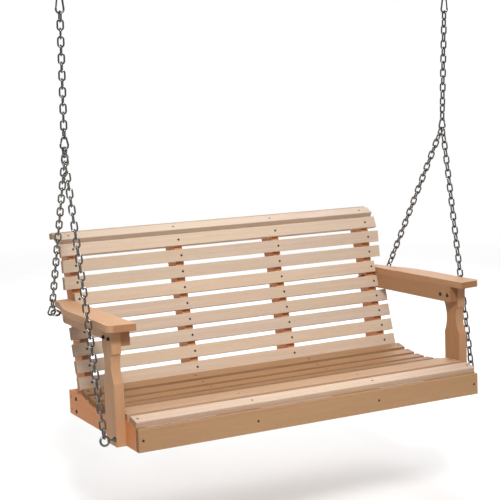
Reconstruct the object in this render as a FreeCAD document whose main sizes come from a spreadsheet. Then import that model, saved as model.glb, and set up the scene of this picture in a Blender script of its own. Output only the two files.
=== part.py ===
import FreeCAD, Part
import math
import os

# Porch swing: a slatted roll-back bench hung from two ceiling eyes on chains.
#
# The bench is modelled square in its own frame: +X to the sitter's left as seen from the
# front (right-hand side of a front view), +Y towards the back, +Z up, with the zero at the
# bottom of the apron's front face, midway along it.  One placement then leans that frame
# back under the chains.  The part's own origin is on the ceiling, midway between the eyes.

Vector = FreeCAD.Vector
Placement = FreeCAD.Placement
Rotation = FreeCAD.Rotation

AXIS_X = Vector(1, 0, 0)
AXIS_Y = Vector(0, 1, 0)
AXIS_Z = Vector(0, 0, 1)

SIDES = {"left": -1, "right": 1}

# Driving dimensions in millimetres and degrees.
SIZES = {
    # boards
    "bench_length": 1220, "slat_length": 1218, "short_slat_length": 1160,
    "board_thick": 30, "apron_height": 69, "apron_thick": 19, "apron_round": 1,
    "slat_thick": 19, "slat_width": 41, "slat_round": 1.5,
    # seat: a dished run of slats behind a rounded front edge
    "dish_radius": 600, "dish_middle": 292, "dish_low": 79.8, "dish_first": -8.64, "dish_step": 5.6,
    "edge_slat_width": 47, "edge_slat_y": 36.5, "edge_slat_top": 92.6, "edge_slat_slope": 12,
    "crest_slat_width": 88, "crest_slat_y": 125, "crest_slat_top": 96.6, "crest_slat_slope": -1.5,
    "seat_board_rear": 574, "seat_board_rear_height": 78,
    "inner_seat_board_x": 218,
    # back
    "back_first_y": 478.7, "back_first_top": 113.8, "back_gap": 13.4,
    "back_lean": 16, "upright_lean": 6.5, "roll_lean": 24, "roll_step_y": 4.8,
    "crown_lean": 64, "crown_step_y": 12.6, "crown_step_up": 13.7,
    "rear_crown_lean": 103, "rear_crown_width": 34,
    "rear_crown_step_y": 13.7, "rear_crown_step_up": 1.9,
    "back_rear_y": 573, "back_waist_y": 610, "back_waist_up": 300,
    # arms
    "rail_front": 103, "rail_rear": 601, "rail_bottom": 297, "arm_underside": 349.5,
    "rail_corner": 16,
    "post_front": 95, "post_width": 80, "block_setback": 5.5, "block_bottom": 276,
    "block_ledge": 5.5, "cove_bottom": 188, "cove_depth": 17.5, "rear_cove_depth": 12,
    "arm_thick": 21, "arm_front": 43, "arm_front_slant": 8, "arm_rear": 613, "arm_inner_x": 583,
    "arm_tip_width": 47, "arm_belly_width": 86.5, "arm_belly_y": 310,
    "arm_waist_width": 82, "arm_waist_y": 165, "arm_corner": 24,
    # fasteners
    "screw_length": 41, "screw_head_radius": 4, "screw_radius": 2.1, "arm_screw_length": 66,
    "bolt_radius": 3, "bolt_head_radius": 7, "bolt_head_height": 3.6, "bolt_grip": 60,
    "nut_across": 10, "nut_thick": 5,
    "eye_shank_radius": 4, "eye_wire": 7, "eye_ring_radius": 13.5, "eye_shank_length": 95,
    "eye_nut_across": 13, "eye_nut_thick": 6.5, "eye_washer_radius": 9, "eye_washer_thick": 1.6,
    "front_eye_y": 106, "front_eye_up": 22, "rear_eye_y": 590, "rear_eye_up": 333,
    "front_eye_reach": 33, "rear_eye_reach": 26.5,
    # chain and hooks
    "link_wire": 5.5, "link_length": 30.2, "link_width": 22.5, "link_play": 0.3,
    "upper_links": 15, "front_links": 35, "rear_links": 25, "upper_pitch": 24.3,
    "junction_step": 3.2, "first_twist": 20, "full_twist": 28, "twist_on": 4, "twist_off": 7,
    "hook_wire": 6, "hook_narrow_radius": 7.5, "hook_broad_radius": 12,
    "top_hook_length": 60, "chain_hook_length": 44,
    "gate_thick": 5, "rivet_radius": 1.1, "tongue_thick": 2.4, "fork_slot": 3, "gate_end_gap": 0.4,
    "pivot_play": 0.6,
    # hanging
    "chain_spread": 688, "junction_y": 277, "junction_up": 871, "seat_pitch": 3.3,
    "eye_plate_length": 96, "eye_plate_width": 38, "eye_plate_thick": 6,
    "eye_plate_hole_radius": 4.5, "eye_plate_hole_spacing": 68,
    "staple_wire": 8, "staple_radius": 14, "staple_leg": 10,
}

DISH_SLATS = 5

doc = FreeCAD.newDocument("PorchSwing")
sheet = doc.addObject("Spreadsheet::Sheet", "Sizes")
for row, (alias, number) in enumerate(SIZES.items(), start=1):
    sheet.set("A%d" % row, alias)
    sheet.set("B%d" % row, str(number))
    sheet.setAlias("B%d" % row, alias)
doc.recompute()


def size(alias):
    return float(sheet.get(alias))


nodes = []


def finish(obj, label):
    """Name a finished sub-part; its label is the name of its node."""
    obj.Label = label
    nodes.append(obj)
    return obj


def move(x=0.0, y=0.0, z=0.0):
    return Placement(Vector(x, y, z), Rotation())


# ---------------------------------------------------------------- sketches and boards

def origin_plane(body, role):
    for feature in body.Origin.OriginFeatures:
        if feature.Role == role:
            return feature
    raise ValueError(role)


def new_sketch(body, role, name, offset=None):
    sketch = body.newObject("Sketcher::SketchObject", name)
    sketch.AttachmentSupport = (origin_plane(body, role), [""])
    sketch.MapMode = "FlatFace"
    if offset is not None:
        sketch.AttachmentOffset = offset
    return sketch


def draw(sketch, outline):
    """Draw a closed outline.

    Each entry is a corner (u, v), or (u, v, "arc", mu, mv) for an arc that reaches (u, v)
    through (mu, mv), or (u, v, "curve", [points]) for a smooth curve through the points.
    """
    def point(u, v):
        return Vector(u, v, 0)

    start = point(outline[-1][0], outline[-1][1])
    for entry in outline:
        end = point(entry[0], entry[1])
        if len(entry) == 2:
            edge = Part.LineSegment(start, end)
        elif entry[2] == "arc":
            edge = Part.Arc(start, point(entry[3], entry[4]), end)
        else:
            edge = Part.BSplineCurve()
            edge.interpolate([start] + [point(u, v) for u, v in entry[3]] + [end])
        sketch.addGeometry(edge, False)
        start = end


def pad(body, sketch, length_alias):
    feature = body.newObject("PartDesign::Pad", "Pad")
    feature.Profile = sketch
    feature.setExpression("Length", "Sizes." + length_alias)
    sketch.Visibility = False
    return feature


def rounded_rectangle(width, height, radius):
    """Outline centred across, standing on its base line, with its four corners rounded."""
    half = width / 2
    diagonal = radius * (1 - math.sqrt(0.5))
    return [
        (half - radius, 0),
        (half, radius, "arc", half - diagonal, diagonal),
        (half, height - radius),
        (half - radius, height, "arc", half - diagonal, height - diagonal),
        (-half + radius, height),
        (-half, height - radius, "arc", -half + diagonal, height - diagonal),
        (-half, radius),
        (-half + radius, 0, "arc", -half + diagonal, diagonal),
    ]


def board(name, role, outline, length_alias, place):
    """A board cut to an outline and as thick, or as long, as one cell of the sheet says."""
    body = doc.addObject("PartDesign::Body", name)
    sketch = new_sketch(body, role, "Outline")
    draw(sketch, outline)
    pad(body, sketch, length_alias)
    body.Placement = place
    return body


# ---------------------------------------------------------------- seat and back curves

def across(angle):
    """Unit vector along a slat's width, for a slope in degrees above level, as (y, z)."""
    turn = math.radians(angle)
    return math.cos(turn), math.sin(turn)


class Slat:
    """Where a slat lies: the middle of its top face, its slope towards the back, its width."""

    def __init__(self, label, y, z, slope, width, length_alias="slat_length"):
        self.label = label
        self.y = y
        self.z = z
        self.slope = slope
        self.width = width
        self.length_alias = length_alias

    def at(self, along, above):
        """Point at a distance along the width and above the top face, as (y, z)."""
        c, s = across(self.slope)
        return self.y + along * c - above * s, self.z + along * s + above * c

    def underside(self):
        thick = size("slat_thick")
        return self.at(-self.width / 2, -thick), self.at(self.width / 2, -thick)


def seat_slats():
    slats = [
        Slat("seat_slat_1_front", size("edge_slat_y"), size("edge_slat_top"),
             size("edge_slat_slope"), size("edge_slat_width")),
        Slat("seat_slat_2_wide", size("crest_slat_y"), size("crest_slat_top"),
             size("crest_slat_slope"), size("crest_slat_width")),
    ]
    radius = size("dish_radius")
    for k in range(DISH_SLATS):
        angle = size("dish_first") + k * size("dish_step")
        c, s = across(angle)
        y = size("dish_middle") + radius * s
        z = size("dish_low") + radius * (1 - c)
        slats.append(Slat("seat_slat_%d" % (k + 3), y, z, angle, size("slat_width")))
    return slats


def slat_behind(label, last, step_y, step_up, lean, width):
    """A slat of the roll-over, its front edge stepped back and up from the last one's rear."""
    y, z = last.at(last.width / 2, 0)
    slope = 90 - lean
    c, s = across(slope)
    return Slat(label, y + step_y + width / 2 * c, z + step_up + width / 2 * s, slope, width)


def back_slats():
    """Slats up the back, lowest first; a slat that leans back L degrees slopes 90 - L."""
    width = size("slat_width")
    leans = [size("back_lean")] * 6 + [size("upright_lean")] * 2 + [size("roll_lean")]
    y, z = size("back_first_y"), size("back_first_top")
    slats = []
    for row, lean in enumerate(leans, start=1):
        if row > 1:
            last = leans[row - 2]
            for reach, angle in ((width / 2, last), (size("back_gap"), (last + lean) / 2),
                                 (width / 2, lean)):
                turn = math.radians(angle)
                y += reach * math.sin(turn)
                z += reach * math.cos(turn)
        if row == len(leans):
            y += size("roll_step_y")
        short = row in (5, 6)
        slats.append(Slat("back_slat_%d" % row, y, z, 90 - lean, width,
                          "short_slat_length" if short else "slat_length"))
    slats.append(slat_behind("crown_slat", slats[-1], size("crown_step_y"),
                             size("crown_step_up"), size("crown_lean"), width))
    slats.append(slat_behind("rear_crown_slat", slats[-1], size("rear_crown_step_y"),
                             size("rear_crown_step_up"), size("rear_crown_lean"),
                             size("rear_crown_width")))
    return slats


SEAT = seat_slats()
BACK = back_slats()


# ---------------------------------------------------------------- chain geometry

WIRE = size("link_wire")
LINK_LENGTH = size("link_length")
HOOK_WIRE = size("hook_wire")
EYE_WIRE = size("eye_wire")


def overlap(bar, play):
    """How far a link's end passes the middle of the bar that it hangs on."""
    return (bar + WIRE) / 2 + play


ON_JUNCTION = overlap(HOOK_WIRE, size("pivot_play"))
ON_HOOK = overlap(HOOK_WIRE, size("link_play"))
ON_EYE = overlap(EYE_WIRE, size("link_play"))
BENCH_HALF = size("bench_length") / 2
HOOK_IN_EYE = (HOOK_WIRE + EYE_WIRE) / 2 + size("link_play")
JUNCTION_Y = size("junction_y")
JUNCTION_UP = size("junction_up")

# Heights under the ceiling: the staple's lowest wire, the swing axis on it, the junction.
STAPLE_LOW = -(size("eye_plate_thick") + size("staple_leg") + size("staple_radius"))
SWING_AXIS = STAPLE_LOW + (size("staple_wire") + HOOK_WIRE) / 2 + size("pivot_play")
UPPER_RUN = (size("upper_links") - 1) * size("upper_pitch") + LINK_LENGTH - 2 * ON_HOOK
TOP_HOOK_LOW = SWING_AXIS - (size("top_hook_length") - HOOK_WIRE)
JUNCTION_HOOK_TOP = TOP_HOOK_LOW - UPPER_RUN
JUNCTION_DOWN = JUNCTION_HOOK_TOP - (size("chain_hook_length") - HOOK_WIRE)

# The bench leans back about X, and its junctions lie straight below the ceiling eyes.
LEAN = Rotation(AXIS_X, -size("seat_pitch"))
BENCH = Placement(Vector(0, 0, JUNCTION_DOWN) - LEAN.multVec(Vector(0, JUNCTION_Y, JUNCTION_UP)), LEAN)


def on_bench(local):
    return BENCH.multiply(local)


# ---------------------------------------------------------------- fasteners

def turned(name, profile):
    """A solid turned about Z from a half profile of (radius, height) points."""
    body = doc.addObject("PartDesign::Body", name)
    sketch = new_sketch(body, "XZ_Plane", "Profile")
    draw(sketch, profile)
    feature = body.newObject("PartDesign::Revolution", "Turned")
    feature.Profile = sketch
    feature.ReferenceAxis = (sketch, ["V_Axis"])
    feature.Angle = 360
    sketch.Visibility = False
    return body


def screw_master(name, length_alias):
    """Countersunk wood screw pointing down -Z, its head flush with Z = 0."""
    head = size("screw_head_radius")
    shank = size("screw_radius")
    length = size(length_alias)
    return turned(name, [
        (0, 0), (head, 0), (head, -0.5), (shank, -0.5 - (head - shank)),
        (shank, -length + 2 * shank), (0, -length)])


def bolt_master(name):
    """Carriage bolt pointing down -Z, its domed head standing on Z = 0."""
    radius = size("bolt_radius")
    head = size("bolt_head_radius")
    rise = size("bolt_head_height")
    length = size("bolt_grip") + size("nut_thick") + 3
    return turned(name, [
        (0, rise), (head, 0, "arc", head * 0.72, rise * 0.72), (radius, 0),
        (radius, -length + 1), (radius - 1, -length), (0, -length)])


def nut_master(name, across_alias, thick_alias, bore):
    """Hexagon nut standing on Z = 0."""
    prism = doc.addObject("Part::Prism", name + "Blank")
    prism.Polygon = 6
    prism.setExpression("Circumradius", "Sizes.%s / 2 / cos(30)" % across_alias)
    prism.setExpression("Height", "Sizes." + thick_alias)
    hole = doc.addObject("Part::Cylinder", name + "Bore")
    hole.Radius = bore
    hole.Height = 3 * size(thick_alias)
    hole.Placement = move(z=-size(thick_alias))
    nut = doc.addObject("Part::Cut", name)
    nut.Base = prism
    nut.Tool = hole
    return nut


def washer_master(name):
    disc = doc.addObject("Part::Cylinder", name + "Disc")
    disc.setExpression("Radius", "Sizes.eye_washer_radius")
    disc.setExpression("Height", "Sizes.eye_washer_thick")
    hole = doc.addObject("Part::Cylinder", name + "Bore")
    hole.setExpression("Radius", "Sizes.eye_shank_radius")
    hole.Height = 20
    hole.Placement = move(z=-10)
    washer = doc.addObject("Part::Cut", name)
    washer.Base = disc
    washer.Tool = hole
    return washer


def group(name, master, places):
    """One node holding separate copies of a master solid."""
    copies = []
    for place in places:
        solid = master.Shape.copy()
        solid.Placement = place.multiply(solid.Placement)
        copies.append(solid)
    feature = doc.addObject("Part::Feature", name)
    feature.Shape = Part.makeCompound(copies)
    return feature


def unit(vector):
    return vector * (1 / vector.Length)


def pointing(direction, at):
    """Placement that carries +Z to a direction and the origin to a point."""
    return Placement(at, Rotation(AXIS_Z, direction))


def screw_into_slat(slat, x):
    """Screw through the middle of a slat's top face, square to it."""
    y, z = slat.at(0, 0)
    turn = math.radians(slat.slope)
    return on_bench(pointing(Vector(0, -math.sin(turn), math.cos(turn)), Vector(x, y, z)))


SEAT_BOARD_X = [BENCH_HALF - size("board_thick") / 2, size("inner_seat_board_x")]
BACK_BOARD_X = [x - size("board_thick") for x in SEAT_BOARD_X]


def wood_screw_places():
    places = []
    for side in SIDES.values():
        for x in SEAT_BOARD_X:
            places += [screw_into_slat(slat, side * x) for slat in SEAT]
            front = Vector(side * x, 0, size("apron_height") / 2)
            places.append(on_bench(pointing(-AXIS_Y, front)))
        for x in BACK_BOARD_X:
            places += [screw_into_slat(slat, side * x) for slat in BACK]
        outward = AXIS_X * side
        outer = side * BENCH_HALF
        for z in (17, 58):
            places.append(on_bench(pointing(outward, Vector(outer, 556, z))))
        places.append(on_bench(pointing(outward, Vector(outer, 586, 306))))
        inner = side * (BENCH_HALF - size("board_thick"))
        for y, z in ((150, 24), (128, 54)):
            places.append(on_bench(pointing(-outward, Vector(inner, y, z))))
        back_foot = side * (BENCH_HALF - 2 * size("board_thick"))
        places.append(on_bench(pointing(-outward, Vector(back_foot, 530, 38))))
    return places


def arm_screw_places():
    """Long screws up through each rail into its arm board."""
    places = []
    for side in SIDES.values():
        x = side * (BENCH_HALF - size("board_thick") / 2)
        for y in (215, 330, 450):
            places.append(on_bench(pointing(-AXIS_Z, Vector(x, y, size("rail_bottom")))))
    return places


def bolt_places():
    """Carriage bolts: head face, pointing along the bolt from the head's side."""
    places = []
    for side in SIDES.values():
        inward = AXIS_X * -side
        outward = AXIS_X * side
        rail_inner = side * (BENCH_HALF - size("board_thick"))
        for y in (118, 157):
            places.append(on_bench(pointing(inward, Vector(rail_inner, y, 320))))
        for x in SEAT_BOARD_X:
            outer = side * (x + size("board_thick") / 2)
            for z in (17, 58):
                places.append(on_bench(pointing(outward, Vector(outer, 512, z))))
    return places


# ---------------------------------------------------------------- wooden boards

def slat_body(slat):
    profile = rounded_rectangle(slat.width, size("slat_thick"), size("slat_round"))
    length = size(slat.length_alias)
    y, z = slat.at(0, -size("slat_thick"))
    place = Placement(Vector(-length / 2, y, z), Rotation(AXIS_X, slat.slope))
    return board(slat.label + "_blank", "YZ_Plane", profile, slat.length_alias, on_bench(place))


def seat_board_outline():
    """Seat board: straight below, a flat under every slat above, square at both ends."""
    top = []
    for slat in SEAT:
        top += list(slat.underside())
    front = size("apron_thick")
    first = top[0]
    slope = math.radians(SEAT[0].slope)
    top[0] = (front, first[1] - (first[0] - front) * math.tan(slope))
    rear = size("seat_board_rear")
    height = size("seat_board_rear_height")
    return [(front, 0)] + top + [(490, height), (rear, height), (rear, 0)]


def back_board_outline():
    """Back board: a flat behind every slat in front and on top, one long sweep behind."""
    front = []
    for slat in BACK:
        front += list(slat.underside())
    foot = front[0]
    lean = math.tan(math.radians(size("back_lean")))
    rear = size("back_rear_y")
    return [(foot[0] - foot[1] * lean, 0)] + front + [
        (rear, 0, "arc", size("back_waist_y"), size("back_waist_up"))]


def post_outline():
    """Arm post: straight foot, a cove on both edges above it, a square block at the top."""
    front = size("post_front")
    rear = front + size("post_width")
    block = front + size("block_setback")
    ledge = block + size("block_ledge")
    low = size("cove_bottom")
    high = size("block_bottom")
    middle = low + 0.6 * (high - low)
    waist = front + size("cove_depth")
    rear_waist = rear - size("rear_cove_depth")
    top = size("arm_underside")
    return [
        (front, 0), (front, low), (ledge, high, "arc", waist, middle), (block, high),
        (block, top), (rear, top), (rear, high + 12), (rear, low, "arc", rear_waist, middle),
        (rear, 0),
    ]


def rail_outline():
    """Arm rail: a straight board with its lower rear corner rounded."""
    front, rear = size("rail_front"), size("rail_rear")
    low, high = size("rail_bottom"), size("arm_underside")
    corner = size("rail_corner")
    cut = corner * (1 - math.sqrt(0.5))
    return [(front, low), (front, high), (rear, high), (rear, low + corner),
            (rear - corner, low, "arc", rear - cut, low + cut)]


def arm_outline(side):
    """Arm board: straight on its inner edge, swelling on its outer one, round at the front."""
    front, rear = size("arm_front"), size("arm_rear")
    outer_front = front + size("arm_front_slant")
    waist, waist_y = size("arm_waist_width"), size("arm_waist_y")
    belly, belly_y = size("arm_belly_width"), size("arm_belly_y")
    tip = size("arm_tip_width")
    corner = size("arm_corner")
    cut = corner * (1 - math.sqrt(0.5))
    shoulder = waist + 2
    sweep = [
        (tip + 0.38 * (belly - tip), rear - 0.32 * (rear - belly_y)),
        (tip + 0.75 * (belly - tip), rear - 0.5 * (rear - belly_y)),
        (belly, belly_y),
        ((belly + waist) / 2 + 0.8, (belly_y + waist_y) / 2),
        (waist, waist_y),
    ]
    return [
        (0, front), (0, rear), (side * tip, rear),
        (side * shoulder, outer_front + corner + 8, "curve", [(side * u, v) for u, v in sweep]),
        (side * shoulder, outer_front + corner),
        (side * (shoulder - corner), outer_front, "arc",
         side * (shoulder - cut), outer_front + cut),
    ]


def drilled(label, blank, tools):
    """Cut the fasteners' own shapes out of a board, so that each one fits its hole."""
    cut = doc.addObject("Part::Cut", label)
    cut.Base = blank
    cut.Tool = tools
    return finish(cut, label)


def near(shape, box, margin=1.0):
    other = shape.BoundBox
    grown = FreeCAD.BoundBox(box.XMin - margin, box.YMin - margin, box.ZMin - margin,
                             box.XMax + margin, box.YMax + margin, box.ZMax + margin)
    return grown.intersect(other)


# ---------------------------------------------------------------- wire parts

def link_master():
    """One oval link in the YZ plane, its long way along Z, centred on the origin."""
    half_width = (size("link_width") - WIRE) / 2
    half_straight = LINK_LENGTH / 2 - half_width
    top = half_straight + half_width
    body = doc.addObject("PartDesign::Body", "LinkMaster")
    spine = new_sketch(body, "YZ_Plane", "Spine")
    draw(spine, [
        (half_width, half_straight),
        (-half_width, half_straight, "arc", 0, top),
        (-half_width, -half_straight),
        (half_width, -half_straight, "arc", 0, -top),
    ])
    section = new_sketch(body, "XY_Plane", "Section")
    section.addGeometry(Part.Circle(Vector(0, half_width, 0), AXIS_Z, WIRE / 2), False)
    pipe = body.newObject("PartDesign::AdditivePipe", "Wire")
    pipe.Profile = section
    pipe.Spine = (spine, ["Edge1", "Edge2", "Edge3", "Edge4"])
    spine.Visibility = False
    section.Visibility = False
    return body


def slow_twist(k, count):
    """Degrees that a link has turned off square: none at the ends, most along the middle."""
    if k == 0:
        return 0.0
    coming_on = size("first_twist") + size("twist_on") * (k - 1)
    going_off = size("twist_off") * (count - 1 - k)
    return min(size("full_twist"), coming_on, going_off)


def chain_places(start, end, overlaps, count, side):
    """Placements of a run's links: long way along the run, each a quarter turn from the last.

    start and end are the middles of the two bars that the run is drawn between, overlaps
    how far its end links pass them.  The links also twist slowly, mirrored left and right.
    """
    length = (end - start).Length
    direction = unit(end - start)
    upright = Rotation(AXIS_Z, -direction)
    pitch = (length + sum(overlaps) - LINK_LENGTH) / (count - 1)
    places = []
    for k in range(count):
        middle = start + direction * (LINK_LENGTH / 2 - overlaps[0] + k * pitch)
        turn = Rotation(AXIS_Z, 90 * (k % 2) + side * slow_twist(k, count))
        places.append(Placement(middle, upright.multiply(turn)))
    return places


class HookShape:
    """Outline of a pear-shaped snap hook in its own YZ plane, narrow end up.

    The middle of the narrow end's wire is the origin; the gate closes the -Y side.
    """

    def __init__(self, length, narrow, broad):
        self.narrow = narrow
        self.broad = broad
        self.reach = length - HOOK_WIRE
        self.top = -narrow
        self.low = -(self.reach - broad)
        gap = self.top - self.low
        self.tilt = math.asin((broad - narrow) / gap)
        self.side = gap * math.cos(self.tilt)

    def tangent(self, side, end):
        radius, height = (self.narrow, self.top) if end == "top" else (self.broad, self.low)
        return side * radius * math.cos(self.tilt), height + radius * math.sin(self.tilt)

    def gate_point(self, distance):
        """Point on the gate's line, a distance down from the narrow end's tangent point."""
        y, z = self.tangent(-1, "top")
        return y - distance * math.sin(self.tilt), z - distance * math.cos(self.tilt)


HINGE_DOWN = 3.0
NOSE_UP = 3.0


def hook_body(name, shape):
    """The bent wire of a snap hook: a flat tongue at the hinge, a plain nose at the gate."""
    hinge = shape.gate_point(HINGE_DOWN)
    start = shape.gate_point(HINGE_DOWN + size("rivet_radius") + 1.2)
    nose = shape.gate_point(shape.side - NOSE_UP)
    left_top = shape.tangent(-1, "top")
    right_top = shape.tangent(1, "top")
    left_low = shape.tangent(-1, "low")
    right_low = shape.tangent(1, "low")
    body = doc.addObject("PartDesign::Body", name)
    spine = new_sketch(body, "YZ_Plane", "Spine")

    def flat(pair):
        return Vector(pair[0], pair[1], 0)

    spine.addGeometry(Part.LineSegment(flat(start), flat(left_top)), False)
    spine.addGeometry(Part.Arc(flat(left_top), Vector(0, 0, 0), flat(right_top)), False)
    spine.addGeometry(Part.LineSegment(flat(right_top), flat(right_low)), False)
    spine.addGeometry(Part.Arc(flat(right_low), Vector(0, -shape.reach, 0), flat(left_low)), False)
    spine.addGeometry(Part.LineSegment(flat(left_low), flat(nose)), False)
    section = new_sketch(body, "XY_Plane", "Section")
    section.AttachmentOffset = Placement(
        Vector(0, start[0], start[1]), Rotation(AXIS_X, -math.degrees(shape.tilt)))
    section.addGeometry(Part.Circle(Vector(0, 0, 0), AXIS_Z, HOOK_WIRE / 2), False)
    pipe = body.newObject("PartDesign::AdditivePipe", "Wire")
    pipe.Profile = section
    pipe.Spine = (spine, ["Edge%d" % k for k in range(1, 6)])
    doc.recompute()
    for side in (-1, 1):
        flatten = body.newObject("PartDesign::SubtractiveBox", "Flatten")
        flatten.Length = HOOK_WIRE
        flatten.Width = 12
        flatten.Height = 6.2
        near_x = side * size("tongue_thick") / 2
        x = near_x if side > 0 else near_x - HOOK_WIRE
        flatten.AttachmentSupport = (origin_plane(body, "XY_Plane"), [""])
        flatten.MapMode = "FlatFace"
        flatten.AttachmentOffset = Placement(Vector(x, hinge[0] - 6, hinge[1] - 3.2), Rotation())
    hole = body.newObject("PartDesign::SubtractiveCylinder", "RivetHole")
    hole.setExpression("Radius", "Sizes.rivet_radius")
    hole.Height = 20
    hole.AttachmentSupport = (origin_plane(body, "YZ_Plane"), [""])
    hole.MapMode = "FlatFace"
    hole.AttachmentOffset = Placement(Vector(hinge[0], hinge[1], -10), Rotation())
    return body


def gate_body(name, shape):
    """The gate: a round bar from the rivet to the nose, forked over the hook's tongue."""
    hinge = shape.gate_point(HINGE_DOWN)
    radius = size("gate_thick") / 2
    reach = shape.side - NOSE_UP - HINGE_DOWN - size("gate_end_gap")
    bar = doc.addObject("Part::Cylinder", name + "Bar")
    bar.Radius = radius
    bar.Height = reach
    knuckle = doc.addObject("Part::Sphere", name + "Knuckle")
    knuckle.Radius = radius
    solid = doc.addObject("Part::Fuse", name + "Solid")
    solid.Base = bar
    solid.Tool = knuckle
    slot = doc.addObject("Part::Box", name + "Slot")
    slot.setExpression("Length", "Sizes.fork_slot")
    slot.Width = 4 * radius
    slot.Height = 2 * radius + 3.4
    slot.Placement = move(-size("fork_slot") / 2, -2 * radius, -2 * radius)
    forked = doc.addObject("Part::Cut", name + "Forked")
    forked.Base = solid
    forked.Tool = slot
    bore = doc.addObject("Part::Cylinder", name + "Bore")
    bore.Radius = size("rivet_radius") + 0.05
    bore.Height = 20
    bore.Placement = Placement(Vector(-10, 0, 0), Rotation(AXIS_Y, 90))
    gate = doc.addObject("Part::Cut", name)
    gate.Base = forked
    gate.Tool = bore
    gate.Placement = Placement()
    doc.recompute()
    shape_place = Placement(Vector(0, hinge[0], hinge[1]),
                            Rotation(AXIS_X, 180 - math.degrees(shape.tilt)))
    return gate, shape_place


def rivet_master():
    """Rivet along X: a pin with a low head at each end."""
    pin = size("rivet_radius")
    half = size("gate_thick") / 2 + 0.15
    return turned("RivetMaster", [
        (0, -half - 0.6), (pin + 0.5, -half - 0.6), (pin + 0.9, -half), (pin, -half),
        (pin, half), (pin + 0.9, half), (pin + 0.5, half + 0.6), (0, half + 0.6)])


def eye_bolt_master():
    """Eye bolt with its shank along -X from a ring in the XZ plane centred on the origin."""
    ring = doc.addObject("Part::Torus", "EyeRing")
    ring.setExpression("Radius1", "Sizes.eye_ring_radius")
    ring.Radius2 = EYE_WIRE / 2
    ring.Placement = Placement(Vector(), Rotation(AXIS_X, 90))
    shank = doc.addObject("Part::Cylinder", "EyeShank")
    shank.setExpression("Radius", "Sizes.eye_shank_radius")
    start = size("eye_ring_radius")
    shank.setExpression("Height", "Sizes.eye_shank_length")
    shank.Placement = Placement(Vector(-start, 0, 0), Rotation(AXIS_Y, -90))
    eye = doc.addObject("Part::Fuse", "EyeMaster")
    eye.Base = ring
    eye.Tool = shank
    return eye


def ceiling_eye_master():
    """Ceiling eye under Z = 0: an oblong plate with two bolt holes and a round staple."""
    half = size("eye_plate_length") / 2
    wide = size("eye_plate_width") / 2
    body = doc.addObject("PartDesign::Body", "CeilingEyeMaster")
    outline = new_sketch(body, "XY_Plane", "Plate")
    draw(outline, [
        (wide, half - wide), (-wide, half - wide, "arc", 0, half),
        (-wide, -half + wide), (wide, -half + wide, "arc", 0, -half)])
    plate = pad(body, outline, "eye_plate_thick")
    plate.Reversed = True
    doc.recompute()
    spine = new_sketch(body, "YZ_Plane", "StapleSpine")
    reach = size("staple_radius")
    root = -size("eye_plate_thick") / 2
    turn = -size("eye_plate_thick") - size("staple_leg")
    spine.addGeometry(Part.LineSegment(Vector(-reach, root, 0), Vector(-reach, turn, 0)), False)
    spine.addGeometry(Part.Arc(Vector(-reach, turn, 0), Vector(0, STAPLE_LOW, 0),
                               Vector(reach, turn, 0)), False)
    spine.addGeometry(Part.LineSegment(Vector(reach, turn, 0), Vector(reach, root, 0)), False)
    section = new_sketch(body, "XY_Plane", "StapleSection", move(z=root))
    section.addGeometry(Part.Circle(Vector(0, -reach, 0), AXIS_Z, size("staple_wire") / 2), False)
    pipe = body.newObject("PartDesign::AdditivePipe", "Staple")
    pipe.Profile = section
    pipe.Spine = (spine, ["Edge1", "Edge2", "Edge3"])
    doc.recompute()
    holes = new_sketch(body, "XY_Plane", "Holes")
    for side in (-1, 1):
        middle = Vector(0, side * size("eye_plate_hole_spacing") / 2, 0)
        holes.addGeometry(Part.Circle(middle, AXIS_Z, size("eye_plate_hole_radius")), False)
    pocket = body.newObject("PartDesign::Pocket", "BoltHoles")
    pocket.Profile = holes
    pocket.Type = "ThroughAll"
    pocket.Reversed = False
    doc.recompute()
    return body


# ---------------------------------------------------------------- build: fasteners first

screw = screw_master("ScrewMaster", "screw_length")
long_screw = screw_master("ArmScrewMaster", "arm_screw_length")
bolt = bolt_master("BoltMaster")
nut = nut_master("NutMaster", "nut_across", "nut_thick", size("bolt_radius"))
eye_nut = nut_master("EyeNutMaster", "eye_nut_across", "eye_nut_thick", size("eye_shank_radius"))
washer = washer_master("WasherMaster")
eye_bolt = eye_bolt_master()
link = link_master()
rivet = rivet_master()
doc.recompute()

wood_screws = doc.addObject("Part::Compound", "WoodScrews")
wood_screws.Links = [group("ShortScrews", screw, wood_screw_places()),
                     group("ArmScrews", long_screw, arm_screw_places())]
finish(wood_screws, "wood_screws")
frame_bolts = finish(group("FrameBolts", bolt, bolt_places()), "frame_bolts")
nut_lift = move(z=-size("bolt_grip") - size("nut_thick"))
frame_nuts = finish(group("FrameNuts", nut, [p.multiply(nut_lift) for p in bolt_places()]),
                    "frame_nuts")


def front_eye_middle(side):
    x = BENCH_HALF + size("board_thick") + size("front_eye_reach")
    return Vector(side * x, size("front_eye_y"), size("front_eye_up"))


def rear_eye_middle(side):
    x = BENCH_HALF + size("rear_eye_reach")
    return Vector(side * x, size("rear_eye_y"), size("rear_eye_up"))


def junction_middle(side):
    return Vector(side * size("chain_spread"), JUNCTION_Y, JUNCTION_UP)


def eye_place(middle, side, turn):
    """Eye bolt placed with its ring turned about its own shank, shank towards the bench."""
    facing = Rotation() if side > 0 else Rotation(AXIS_Z, 180)
    return Placement(middle, Rotation(AXIS_X, turn).multiply(facing))


def eye_places():
    """Front rings face along their legs; rear rings lie square to theirs, to take a hook."""
    places = []
    for side in SIDES.values():
        middle = front_eye_middle(side)
        leg = unit(junction_middle(side) - middle)
        places.append(eye_place(middle, side, -math.degrees(math.atan2(leg.y, leg.z))))
        middle = rear_eye_middle(side)
        leg = unit(junction_middle(side) - middle)
        places.append(eye_place(middle, side, 90 - math.degrees(math.atan2(leg.y, leg.z))))
    return [on_bench(place) for place in places]


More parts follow.
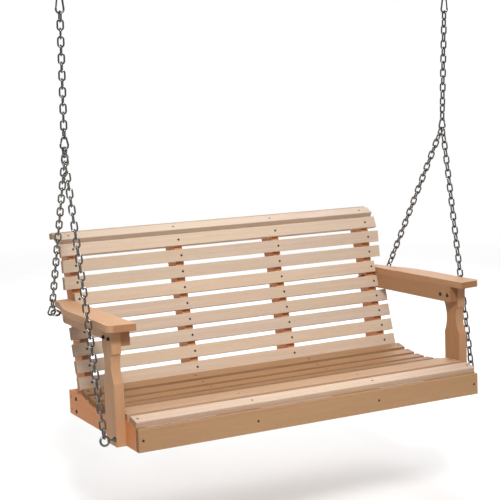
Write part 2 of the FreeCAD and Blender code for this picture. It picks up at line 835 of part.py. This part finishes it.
def eye_seat_places(offset_outer, offset_inner):
    """Placements against the outer and inner faces that each eye bolt clamps."""
    places = []
    for side in SIDES.values():
        for middle, face in ((front_eye_middle(side), BENCH_HALF + size("board_thick")),
                             (rear_eye_middle(side), BENCH_HALF)):
            outer = Vector(side * (face + offset_outer), middle.y, middle.z)
            inner_face = face - 2 * size("board_thick")
            inner = Vector(side * (inner_face - offset_inner), middle.y, middle.z)
            places.append(on_bench(pointing(AXIS_X * side, outer)))
            places.append(on_bench(pointing(AXIS_X * -side, inner)))
    return places


eye_bolts = finish(group("EyeBolts", eye_bolt, eye_places()), "eye_bolts")
past_washer = size("eye_washer_thick")
finish(group("EyeBoltNuts", eye_nut, eye_seat_places(past_washer, past_washer)), "eye_bolt_nuts")
finish(group("EyeBoltWashers", washer, eye_seat_places(0, 0)), "eye_bolt_washers")

fasteners = doc.addObject("Part::Compound", "Fasteners")
fasteners.Links = [wood_screws, frame_bolts, eye_bolts]
doc.recompute()

FASTENER_SOLIDS = [solid for feature in fasteners.Links for solid in feature.Shape.Solids]


def tools_for(label, blank):
    """Copies of the fasteners that pass through a board."""
    doc.recompute()
    box = blank.Shape.BoundBox
    inside = [solid for solid in FASTENER_SOLIDS if near(solid, box)]
    tools = doc.addObject("Part::Feature", label + "_fasteners")
    tools.Shape = Part.makeCompound(inside)
    return tools


def wooden(label, blank):
    return drilled(label, blank, tools_for(label, blank))


# ---------------------------------------------------------------- build: boards

for slat in SEAT + BACK:
    wooden(slat.label, slat_body(slat))

apron_profile = rounded_rectangle(size("apron_thick"), size("apron_height"), size("apron_round"))
apron_place = on_bench(move(-BENCH_HALF, size("apron_thick") / 2, 0))
wooden("apron", board("apron_blank", "YZ_Plane", apron_profile, "bench_length", apron_place))

for hand, side in SIDES.items():
    for label, xs, outline in (("seat_board", SEAT_BOARD_X, seat_board_outline()),
                               ("back_board", BACK_BOARD_X, back_board_outline())):
        for spot, x in zip(("outer", "inner"), xs):
            name = "%s_%s_%s" % (label, spot, hand)
            edge = side * x - size("board_thick") / 2
            wooden(name, board(name + "_blank", "YZ_Plane", outline, "board_thick",
                               on_bench(move(x=edge))))
    rail_x = side * (BENCH_HALF - size("board_thick") / 2) - size("board_thick") / 2
    post_x = side * (BENCH_HALF + size("board_thick") / 2) - size("board_thick") / 2
    wooden("arm_rail_" + hand, board("rail_blank_" + hand, "YZ_Plane", rail_outline(),
                                     "board_thick", on_bench(move(x=rail_x))))
    wooden("arm_post_" + hand, board("post_blank_" + hand, "YZ_Plane", post_outline(),
                                     "board_thick", on_bench(move(x=post_x))))
    arm_place = move(x=side * size("arm_inner_x"), z=size("arm_underside"))
    wooden("arm_board_" + hand, board("arm_blank_" + hand, "XY_Plane", arm_outline(side),
                                      "arm_thick", on_bench(arm_place)))

# ---------------------------------------------------------------- build: chains and hooks

TOP_HOOK = HookShape(size("top_hook_length"), size("hook_narrow_radius"), size("hook_broad_radius"))
CHAIN_HOOK = HookShape(size("chain_hook_length"), size("hook_narrow_radius"),
                       size("hook_broad_radius"))
hanger_rivets = []
seat_rivets = []


def place_hook(label, shape, place, rivets):
    """A snap hook with its gate and rivet, all at one placement."""
    hook = hook_body("Hook_" + label, shape)
    hook.Placement = place
    finish(hook, label)
    gate, own = gate_body("Gate_" + label, shape)
    gate.Placement = place.multiply(own)
    finish(gate, label + "_gate")
    hinge = shape.gate_point(HINGE_DOWN)
    at_hinge = Placement(Vector(0, hinge[0], hinge[1]), Rotation(AXIS_Y, 90))
    rivets.append(place.multiply(at_hinge))


def junction_bar(side, offset):
    """Middle of the junction hook's wire, a little to one side of its lowest point."""
    radius = size("hook_broad_radius")
    rise = radius - math.sqrt(radius ** 2 - offset ** 2)
    return junction_middle(side) + Vector(side * offset, 0, rise)


for hand, side in SIDES.items():
    x = side * size("chain_spread")
    # The hooks hang facing forwards, in the XZ plane, with their gates outwards.
    hanging = Rotation(AXIS_Z, 90 * side)
    place_hook("top_hook_" + hand, TOP_HOOK,
               Placement(Vector(x, 0, SWING_AXIS), hanging), hanger_rivets)
    upper = chain_places(Vector(x, 0, TOP_HOOK_LOW), Vector(x, 0, JUNCTION_HOOK_TOP),
                         (ON_HOOK, ON_HOOK), int(size("upper_links")), side)
    finish(group("UpperChain_" + hand, link, upper), "upper_chain_" + hand)
    place_hook("junction_hook_" + hand, CHAIN_HOOK,
               Placement(Vector(x, 0, JUNCTION_HOOK_TOP), hanging), hanger_rivets)

    step = size("junction_step")
    front_top = junction_bar(side, step)
    front_eye = front_eye_middle(side)
    front_low = front_eye + unit(front_top - front_eye) * size("eye_ring_radius")
    front = chain_places(front_top, front_low, (ON_JUNCTION, ON_EYE),
                         int(size("front_links")), side)
    finish(group("FrontChain_" + hand, link, [on_bench(p) for p in front]), "front_chain_" + hand)

    rear_top = junction_bar(side, -step)
    rear_wire = rear_eye_middle(side) + AXIS_X * (side * size("eye_ring_radius"))
    down = unit(rear_wire - rear_top)
    hook_top = rear_wire + down * (HOOK_IN_EYE - CHAIN_HOOK.reach)
    rear = chain_places(rear_top, hook_top, (ON_JUNCTION, ON_HOOK),
                        int(size("rear_links")), side)
    finish(group("RearChain_" + hand, link, [on_bench(p) for p in rear]), "rear_chain_" + hand)
    upright = Rotation(AXIS_Z, -down).multiply(Rotation(AXIS_Z, 90 * side))
    place_hook("rear_hook_" + hand, CHAIN_HOOK, on_bench(Placement(hook_top, upright)), seat_rivets)

finish(group("HangerRivets", rivet, hanger_rivets), "hanger_hook_rivets")
finish(group("SeatRivets", rivet, seat_rivets), "rear_hook_rivets")

ceiling_eye = ceiling_eye_master()
eye_spots = [move(x=side * size("chain_spread")) for side in SIDES.values()]
finish(group("CeilingEyes", ceiling_eye, eye_spots), "ceiling_eyes")
doc.recompute()

# ---------------------------------------------------------------- check and export

for obj in doc.Objects:
    if "Invalid" in obj.State or "Error" in obj.State:
        raise RuntimeError("%s failed to build" % obj.Label)
for obj in nodes:
    if obj.Shape.isNull() or not obj.Shape.isValid() or not obj.Shape.Solids:
        raise RuntimeError("%s has no valid solid" % obj.Label)

os.makedirs("parts", exist_ok=True)
for obj in nodes:
    obj.Shape.exportStep("parts/%s.step" % obj.Label)
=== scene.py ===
import math
import random

import bpy
from mathutils import Matrix, Vector

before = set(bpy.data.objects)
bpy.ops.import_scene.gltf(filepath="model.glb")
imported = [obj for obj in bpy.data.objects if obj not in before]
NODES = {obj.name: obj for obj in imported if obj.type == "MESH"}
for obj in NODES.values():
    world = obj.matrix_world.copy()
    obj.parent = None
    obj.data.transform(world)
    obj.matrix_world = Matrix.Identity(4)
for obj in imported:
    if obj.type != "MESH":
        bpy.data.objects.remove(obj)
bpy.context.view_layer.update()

# ---------------------------------------------------------------- node helpers


def shade(color, factor):
    return tuple(min(1.0, c * factor) for c in color)


def tinted(color, factors):
    return tuple(c * f for c, f in zip(color, factors))


class Graph:
    """A material's node tree with short ways to add and join nodes."""

    def __init__(self, name):
        self.material = bpy.data.materials.new(name)
        self.material.use_nodes = True
        self.tree = self.material.node_tree
        self.tree.nodes.clear()

    def add(self, kind, inputs=None, **settings):
        node = self.tree.nodes.new(kind)
        for key, value in settings.items():
            setattr(node, key, value)
        for key, value in (inputs or {}).items():
            self.feed(node.inputs[key], value)
        return node

    def feed(self, socket, value):
        if isinstance(value, bpy.types.NodeSocket):
            self.tree.links.new(value, socket)
        else:
            socket.default_value = value

    def coordinate(self, kind="Object"):
        return self.add("ShaderNodeTexCoord").outputs[kind]

    def math(self, operation, a, b=0.0):
        return self.add("ShaderNodeMath", {0: a, 1: b}, operation=operation).outputs[0]

    def vector(self, operation, a, b=(0, 0, 0), result="Vector"):
        node = self.add("ShaderNodeVectorMath", {0: a, 1: b}, operation=operation)
        return node.outputs[result]

    def noise(self, vector, scale, detail=2.0, rough=0.5, result="Fac"):
        """Noise whose scale is given for each direction."""
        node = self.add("ShaderNodeTexNoise", {
            "Vector": self.vector("MULTIPLY", vector, scale), "Scale": 1.0,
            "Detail": detail, "Roughness": rough})
        return node.outputs[result]

    def ramp(self, fac, stops):
        """Grey levels at the stops, and straight lines between them."""
        node = self.add("ShaderNodeValToRGB", {"Fac": fac})
        elements = node.color_ramp.elements
        while len(elements) < len(stops):
            elements.new(0.5)
        for element, (position, level) in zip(elements, stops):
            element.position = position
            element.color = (level, level, level, 1.0)
        return node.outputs["Color"]

    def mix(self, a, b, fac, blend="MIX"):
        node = self.add("ShaderNodeMix", {0: fac}, data_type="RGBA", blend_type=blend)
        for socket, value in ((node.inputs[6], a), (node.inputs[7], b)):
            if not isinstance(value, bpy.types.NodeSocket):
                value = (*value, 1.0)
            self.feed(socket, value)
        return node.outputs[2]

    def bump(self, height, strength, distance):
        node = self.add("ShaderNodeBump", {
            "Height": height, "Strength": strength, "Distance": distance})
        return node.outputs["Normal"]

    def surface(self, shader):
        self.add("ShaderNodeOutputMaterial", {"Surface": shader})
        return self.material

    def principled(self, color, roughness, **inputs):
        return self.add("ShaderNodeBsdfPrincipled", {
            "Base Color": color, "Roughness": roughness, **inputs}).outputs[0]


# ---------------------------------------------------------------- wood

PITH_DISTANCE = 0.12
PITH_SPREAD = 0.05
RINGS_PER_METRE = (150, 230)
LOG_SPREAD = 3
LATE_WOOD = ((0.0, 0.05), (0.45, 0.16), (0.80, 0.62), (0.93, 1.0), (1.0, 0.05))


def growth_rings(g, local, shift, pick):
    """Share of dark late wood: rings about a wandering pith line well outside the board."""
    moved = g.vector("MULTIPLY", local, (0.0, 1.0, 1.0))
    for scale, reach in (((0.9, 7, 7), 0.030), ((5, 60, 60), 0.0028)):
        wander = g.noise(local, scale, result="Color")
        wander = g.vector("SUBTRACT", wander, (0.5, 0.5, 0.5))
        moved = g.vector("ADD", moved, g.vector("MULTIPLY", wander, (0.0, reach, reach)))
    pith_y = shift[1] + pick.uniform(-PITH_SPREAD, PITH_SPREAD)
    pith_z = shift[2] + pick.choice((-1, 1)) * PITH_DISTANCE
    from_pith = g.vector("SUBTRACT", moved, (0.0, pith_y, pith_z))
    radius = g.vector("LENGTH", from_pith, result="Value")
    rings = g.math("MULTIPLY", radius, pick.uniform(*RINGS_PER_METRE))
    return g.ramp(g.math("FRACT", rings), LATE_WOOD)


def face_color(g, local, tone, late, fibre):
    """Long-grain colour: rings, rosy streaks, golden clouds, fine fibres and dark flecks."""
    streak = g.noise(local, (1.6, 85, 85), 4.0, 0.55)
    cloud = g.noise(local, (2.2, 9, 9), 3.0)
    fleck = g.noise(local, (38, 1100, 1100), 1.0)
    late_tone = tinted(tone, (0.80, 0.66, 0.52))
    rosy = tinted(tone, (1.00, 0.86, 0.80))
    golden = tinted(tone, (1.04, 1.00, 0.86))
    color = g.mix(shade(tone, 1.10), late_tone, g.math("MULTIPLY", late, 0.42))
    streaked = g.ramp(streak, [(0.36, 0.0), (0.62, 1.0)])
    color = g.mix(color, rosy, g.math("MULTIPLY", streaked, 0.55))
    clouded = g.ramp(cloud, [(0.38, 0.0), (0.64, 1.0)])
    color = g.mix(color, golden, g.math("MULTIPLY", clouded, 0.5))
    fine = g.ramp(fibre, [(0.30, 0.80), (0.70, 1.06)])
    color = g.mix(color, fine, 0.55, "MULTIPLY")
    flecks = g.ramp(fleck, [(0.64, 1.0), (0.74, 0.62)])
    return g.mix(color, flecks, 0.45, "MULTIPLY")


def end_color(g, local, tone, late):
    """Darker, redder colour of the cut ends, pitted with pores."""
    pores = g.noise(local, (40, 900, 900), 2.0, 0.6)
    pitted = g.ramp(pores, [(0.35, 0.62), (0.6, 1.0)])
    early_end = tinted(tone, (0.82, 0.66, 0.50))
    late_end = tinted(tone, (0.60, 0.42, 0.28))
    return g.mix(g.mix(early_end, late_end, late), pitted, 0.8, "MULTIPLY")


def wood(name, along, tone, seed):
    """Sawn softwood with its fibres along a unit vector."""
    pick = random.Random(seed)
    g = Graph(name)
    along = Vector(along).normalized()
    turn = along.rotation_difference(Vector((1, 0, 0))).to_euler()
    shift = tuple(pick.uniform(-LOG_SPREAD, LOG_SPREAD) for _ in range(3))
    local = g.add("ShaderNodeMapping", {
        "Vector": g.coordinate(), "Rotation": tuple(turn), "Location": shift}).outputs["Vector"]

    late = growth_rings(g, local, shift, pick)
    fibre = g.noise(local, (11, 700, 700), 3.0, 0.6)
    facing = g.vector("DOT_PRODUCT", g.coordinate("Normal"), along, "Value")
    end = g.math("POWER", g.math("ABSOLUTE", facing), 12.0)
    color = g.mix(face_color(g, local, tone, late, fibre), end_color(g, local, tone, late),
                  g.math("MULTIPLY", end, 0.9))

    roughness = g.math("ADD", 0.50, g.math("MULTIPLY", fibre, 0.16))
    roughness = g.math("ADD", roughness, g.math("MULTIPLY", end, 0.22))
    relief = g.math("ADD", g.math("MULTIPLY", late, 0.5), fibre)
    return g.surface(g.principled(color, roughness, Normal=g.bump(relief, 0.16, 0.0006)))


# ---------------------------------------------------------------- metals

BLOTCHES_PER_METRE = 260
GRAINS_PER_METRE = BLOTCHES_PER_METRE * 9
STAINS_PER_METRE = 26


def metal(name, tone, rough, metallic=1.0):
    """Plated or blackened steel with blotchy plating, fine grain and faint warm stains."""
    g = Graph(name)
    coord = g.coordinate()
    blotch = g.noise(coord, (BLOTCHES_PER_METRE,) * 3, 4.0, 0.6)
    grain = g.noise(coord, (GRAINS_PER_METRE,) * 3)
    broad = g.noise(coord, (STAINS_PER_METRE,) * 3, 3.0)
    color = g.mix(shade(tone, 1.15), shade(tone, 0.55), g.ramp(blotch, [(0.35, 0), (0.7, 1)]))
    warm = tinted(tone, (1.05, 0.96, 0.84))
    color = g.mix(color, warm, g.ramp(broad, [(0.45, 0), (0.65, 0.25)]))
    unevenness = g.math("MULTIPLY", g.math("SUBTRACT", blotch, 0.5), 0.28)
    roughness = g.math("ADD", rough, unevenness)
    roughness = g.math("ADD", roughness, g.math("MULTIPLY", grain, 0.06))
    relief = g.math("ADD", g.math("MULTIPLY", blotch, 0.6), g.math("MULTIPLY", grain, 0.4))
    return g.surface(g.principled(color, roughness, Metallic=metallic,
                                  Normal=g.bump(relief, 0.12, 0.0003)))


METALS = {
    "chain": metal("chain_steel", (0.22, 0.216, 0.208), 0.17),
    "plated": metal("plated_steel", (0.24, 0.236, 0.226), 0.17),
    "screw": metal("blackened_screw", (0.050, 0.045, 0.042), 0.42, metallic=0.8),
    "bolt": metal("blackened_bolt", (0.060, 0.056, 0.054), 0.38, metallic=0.9),
}


def metal_for(node):
    if "chain" in node:
        return METALS["chain"]
    if node.endswith("_screws"):
        return METALS["screw"]
    if node.startswith("frame_"):
        return METALS["bolt"]
    return METALS["plated"]


# ---------------------------------------------------------------- boards

BENCH_PITCH = math.radians(3.3)
BACK_LEAN = math.radians(16) + BENCH_PITCH
ALONG_X = (1, 0, 0)
ALONG_BENCH_Y = (0, math.cos(BENCH_PITCH), -math.sin(BENCH_PITCH))
ALONG_BENCH_Z = (0, math.sin(BENCH_PITCH), math.cos(BENCH_PITCH))
ALONG_BACK = (0, math.sin(BACK_LEAN), math.cos(BACK_LEAN))

# Painted light and shade: these tones are all one wood. The back slats, crown and the wide and
# front seat slats are painted lighter and paler for their lit tops and sheen. The seat slats and
# apron are painted darker as shade, and the frame boards a deeper orange as shade on their sides.
# The arms keep the plain tone.
BACK_PAINTED_LIGHT_TONE = (0.54, 0.435, 0.350)
CROWN_PAINTED_LIGHT_TONE = (0.48, 0.380, 0.300)
SEAT_PAINTED_SHADE_TONE = (0.29, 0.160, 0.076)
WIDE_SLAT_PAINTED_LIGHT_TONE = (0.42, 0.260, 0.155)
EDGE_PAINTED_LIGHT_TONE = (0.50, 0.390, 0.305)
APRON_PAINTED_SHADE_TONE = (0.36, 0.210, 0.105)
ARM_TONE = (0.51, 0.290, 0.155)
FRAME_PAINTED_SHADE_TONE = (0.60, 0.240, 0.085)
# Painted shade: the right arm's boards and post are darkened by this level.
RIGHT_ARM_PAINTED_SHADE_LEVEL = 0.80
LEVEL_SPREAD = 0.06
RED_SPREAD = 0.035
TONE_SEED = 900
GRAIN_SEED = 40

# The first row whose words begin and end a node's name gives its fibre direction and colour; for
# every kind but the arms, that colour is painted lighter or darker for light and shade.
BOARD_LOOKS = (
    ("apron", "", ALONG_X, APRON_PAINTED_SHADE_TONE),
    ("seat_slat", "front", ALONG_X, EDGE_PAINTED_LIGHT_TONE),
    ("seat_slat", "wide", ALONG_X, WIDE_SLAT_PAINTED_LIGHT_TONE),
    ("seat_slat", "", ALONG_X, SEAT_PAINTED_SHADE_TONE),
    ("", "crown_slat", ALONG_X, CROWN_PAINTED_LIGHT_TONE),
    ("back_slat", "", ALONG_X, BACK_PAINTED_LIGHT_TONE),
    ("arm_board", "", ALONG_BENCH_Y, ARM_TONE),
    ("arm_rail", "", ALONG_BENCH_Y, ARM_TONE),
    ("arm_post", "", ALONG_BENCH_Z, ARM_TONE),
    ("back_board", "", ALONG_BACK, FRAME_PAINTED_SHADE_TONE),
    ("seat_board", "", ALONG_BENCH_Y, FRAME_PAINTED_SHADE_TONE),
)


def board_look(node):
    for start, end, along, tone in BOARD_LOOKS:
        if node.startswith(start) and node.endswith(end):
            return along, tone
    return None


def board_tone_and_painted_shade(node, tone, seed):
    """The board's own tone: each one is a little lighter, darker or redder than its kind; the
    right arm's boards and post are darkened further as painted shade.
    """
    pick = random.Random(seed)
    level = pick.uniform(1 - LEVEL_SPREAD, 1 + LEVEL_SPREAD)
    red = pick.uniform(-RED_SPREAD, RED_SPREAD)
    # Painted shade: the right arm is made darker than the left.
    if node.startswith("arm_") and node.endswith("right"):
        level *= RIGHT_ARM_PAINTED_SHADE_LEVEL
    return (tone[0] * level, tone[1] * level * (1 - red), tone[2] * level * (1 - 2 * red))


def cover(node, material):
    NODES[node].data.materials.clear()
    NODES[node].data.materials.append(material)


boards = [name for name in sorted(NODES) if board_look(name)]
for number, name in enumerate(boards):
    along, tone = board_look(name)
    tone = board_tone_and_painted_shade(name, tone, TONE_SEED + number)
    cover(name, wood("wood_" + name, along, tone, GRAIN_SEED + number))
for name in sorted(NODES):
    if name not in boards:
        cover(name, metal_for(name))

# ---------------------------------------------------------------- stage

FLOOR_Z = -1.78
FLOOR_SIZE = 20
FADE_UNIT = 10.0
FADE_START = 2.4
FADE_END = 6.2


def floor_material():
    """Pale matt floor round the swing that fades out into the white surroundings."""
    g = Graph("floor_paint")
    coord = g.coordinate()
    grain = g.noise(coord, (3, 3, 3), 3.0)
    paint = g.principled(g.mix((0.80, 0.80, 0.80), (0.83, 0.83, 0.83), grain), 0.9)
    clear = g.add("ShaderNodeBsdfTransparent").outputs[0]
    distance = g.vector("LENGTH", coord, result="Value")
    fade = g.ramp(g.math("DIVIDE", distance, FADE_UNIT),
                  [(FADE_START / FADE_UNIT, 0), (FADE_END / FADE_UNIT, 1)])
    return g.surface(g.add("ShaderNodeMixShader", {0: fade, 1: paint, 2: clear}).outputs[0])


def add_floor():
    half = FLOOR_SIZE / 2
    corners = [(x * half, y * half, FLOOR_Z) for x, y in ((-1, -1), (1, -1), (1, 1), (-1, 1))]
    mesh = bpy.data.meshes.new("floor")
    mesh.from_pydata(corners, [], [(0, 1, 2, 3)])
    mesh.materials.append(floor_material())
    floor = bpy.data.objects.new("floor", mesh)
    bpy.context.scene.collection.objects.link(floor)


add_floor()

# ---------------------------------------------------------------- light

CENTRE = Vector((0, 0, -1.0))
WARM_WHITE = (1.0, 0.985, 0.965)
WHITE = (1, 1, 1)


def area(name, at, target, size, watts, spread, color=WHITE):
    """A round lamp aimed at a target; a small spread in degrees makes a narrow beam."""
    light = bpy.data.lights.new(name, "AREA")
    light.shape = "DISK"
    light.size = size
    light.spread = math.radians(spread)
    light.energy = watts
    light.color = color
    lamp = bpy.data.objects.new(name, light)
    lamp.location = at
    lamp.rotation_euler = (Vector(target) - Vector(at)).to_track_quat("-Z", "Y").to_euler()
    bpy.context.scene.collection.objects.link(lamp)


area("key", CENTRE + Vector((-1.8, -4.2, 3.7)), CENTRE, 1.2, 14, 40, WARM_WHITE)
area("top", CENTRE + Vector((0.0, 0.4, 5.0)), CENTRE, 1.6, 6, 45)
area("behind", Vector((2.2, 3.4, 1.6)), Vector((1.4, 2.6, FLOOR_Z)), 2.0, 60, 120)

BEHIND_SWING = (0.47, 0.883, 0.0)
DIM_HEADING = 0.15
BRIGHT_HEADING = 0.80
OVERHEAD = {"From Min": -0.25, "From Max": 0.7, "To Min": 0.20, "To Max": 0.70}


def studio_world():
    """White surroundings behind the swing, dimmer in front, so that its faces keep their shape."""
    world = bpy.data.worlds.new("studio")
    world.use_nodes = True
    tree = world.node_tree
    coord = tree.nodes.new("ShaderNodeTexCoord").outputs["Generated"]
    heading = tree.nodes.new("ShaderNodeVectorMath")
    heading.operation = "DOT_PRODUCT"
    heading.inputs[1].default_value = BEHIND_SWING
    tree.links.new(coord, heading.inputs[0])
    ramp = tree.nodes.new("ShaderNodeValToRGB")
    tree.links.new(heading.outputs["Value"], ramp.inputs["Fac"])
    stops = ((DIM_HEADING, 0.0), (BRIGHT_HEADING, 1.0))
    for element, (position, level) in zip(ramp.color_ramp.elements, stops):
        element.position = position
        element.color = (level, level, level, 1.0)
    split = tree.nodes.new("ShaderNodeSeparateXYZ")
    tree.links.new(coord, split.inputs[0])
    overhead = tree.nodes.new("ShaderNodeMapRange")
    tree.links.new(split.outputs["Z"], overhead.inputs["Value"])
    for key, value in OVERHEAD.items():
        overhead.inputs[key].default_value = value
    brightest = tree.nodes.new("ShaderNodeMath")
    brightest.operation = "MAXIMUM"
    tree.links.new(ramp.outputs["Color"], brightest.inputs[0])
    tree.links.new(overhead.outputs["Result"], brightest.inputs[1])
    background = tree.nodes["Background"]
    tree.links.new(brightest.outputs[0], background.inputs["Color"])
    background.inputs["Strength"].default_value = 1.0
    return world


bpy.context.scene.world = studio_world()
bpy.context.scene.view_settings.view_transform = "Standard"

# ---------------------------------------------------------------- camera

CAMERA_LENS = 90.54
CAMERA_SENSOR = 36
CAMERA_AT = Vector((-1.95164, -3.53586, -0.13156))
CAMERA_RIGHT = Vector((0.881987, -0.471197, -0.008501))
CAMERA_UP = Vector((0.088259, 0.147431, 0.985127))


def add_camera():
    """Camera at the photograph's place and angle."""
    data = bpy.data.cameras.new("camera")
    data.lens = CAMERA_LENS
    data.sensor_width = CAMERA_SENSOR
    camera = bpy.data.objects.new("camera", data)
    axes = Matrix((CAMERA_RIGHT, CAMERA_UP, CAMERA_RIGHT.cross(CAMERA_UP))).transposed()
    camera.matrix_world = Matrix.Translation(CAMERA_AT) @ axes.to_4x4()
    bpy.context.scene.collection.objects.link(camera)
    bpy.context.scene.camera = camera


add_camera()
